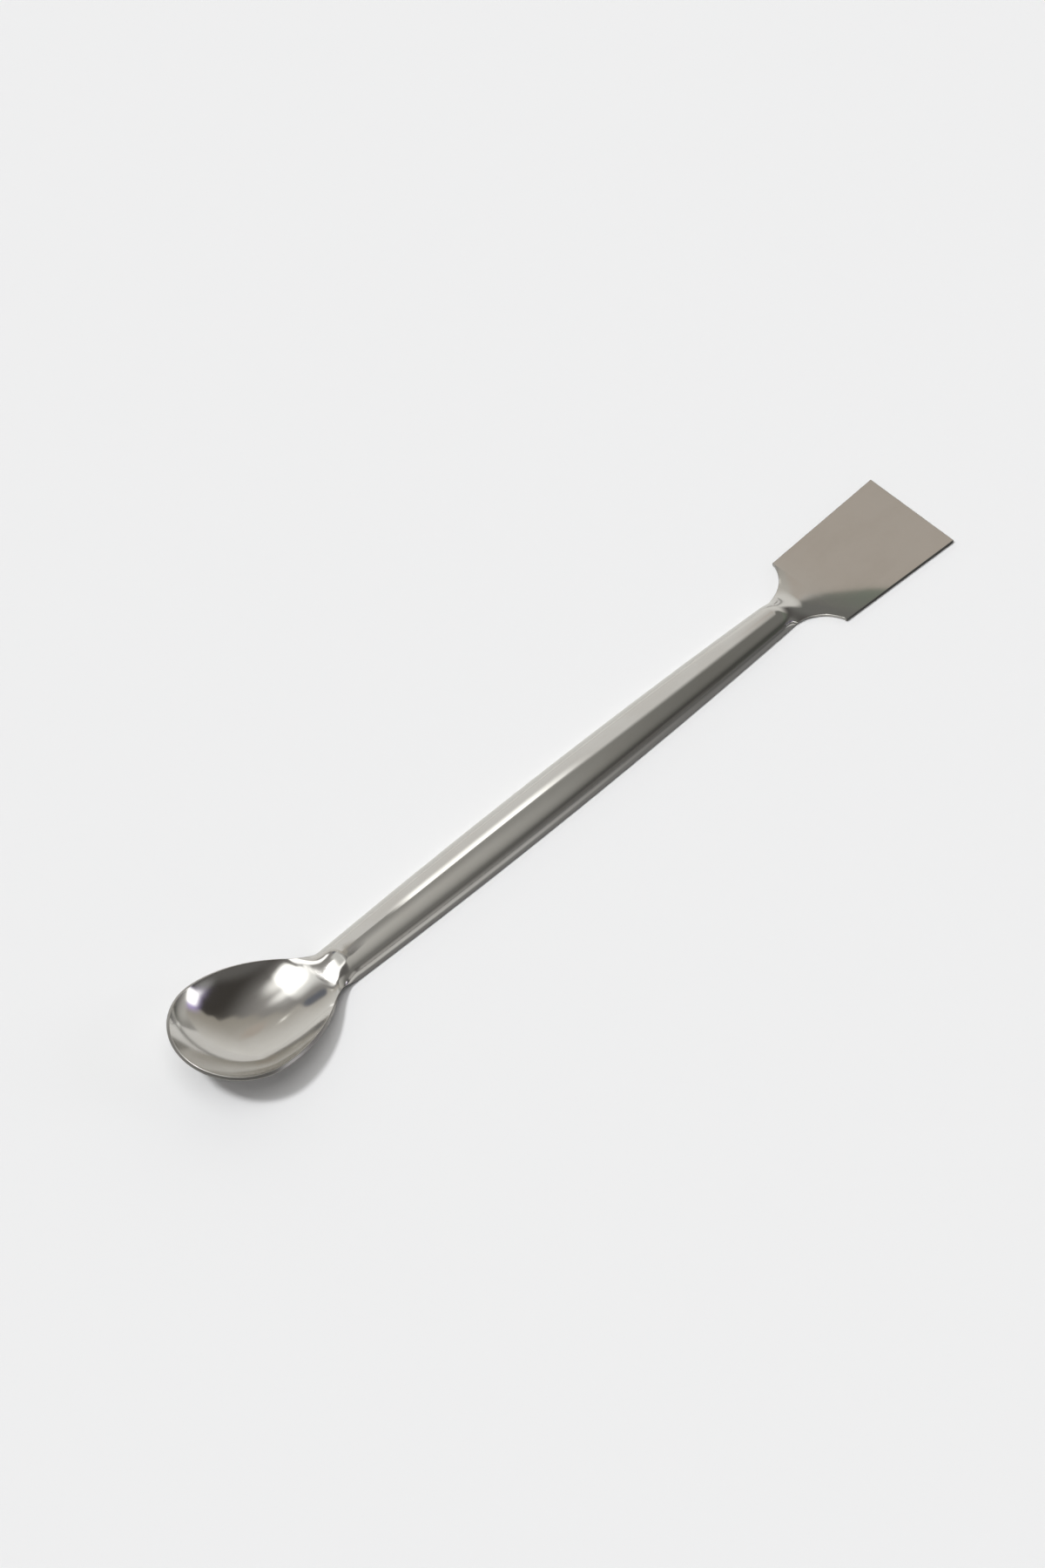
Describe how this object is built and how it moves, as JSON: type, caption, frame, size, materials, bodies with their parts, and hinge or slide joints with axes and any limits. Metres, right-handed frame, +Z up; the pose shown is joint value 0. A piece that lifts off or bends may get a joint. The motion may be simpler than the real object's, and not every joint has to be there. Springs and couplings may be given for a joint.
{
  "type": "lab spatula",
  "caption": "Double-ended lab spatula pressed from one steel sheet: an oval spoon bowl and a flat flared blade on a half-round channel handle, for scooping and spreading powders.",
  "frame": {"origin": "middle of the spatula's length and width, on the plane that it lies on", "axes": "+X along the spatula from the spoon to the blade, +Y across it, +Z up, on the side that the bowl opens to"},
  "size_m": [0.18, 0.0238, 0.0085],
  "materials": {
    "steel": "polished stainless steel sheet with fine scratches along its length"
  },
  "bodies": {
    "root": {"spatula": "steel"}
  },
  "joints": []
}
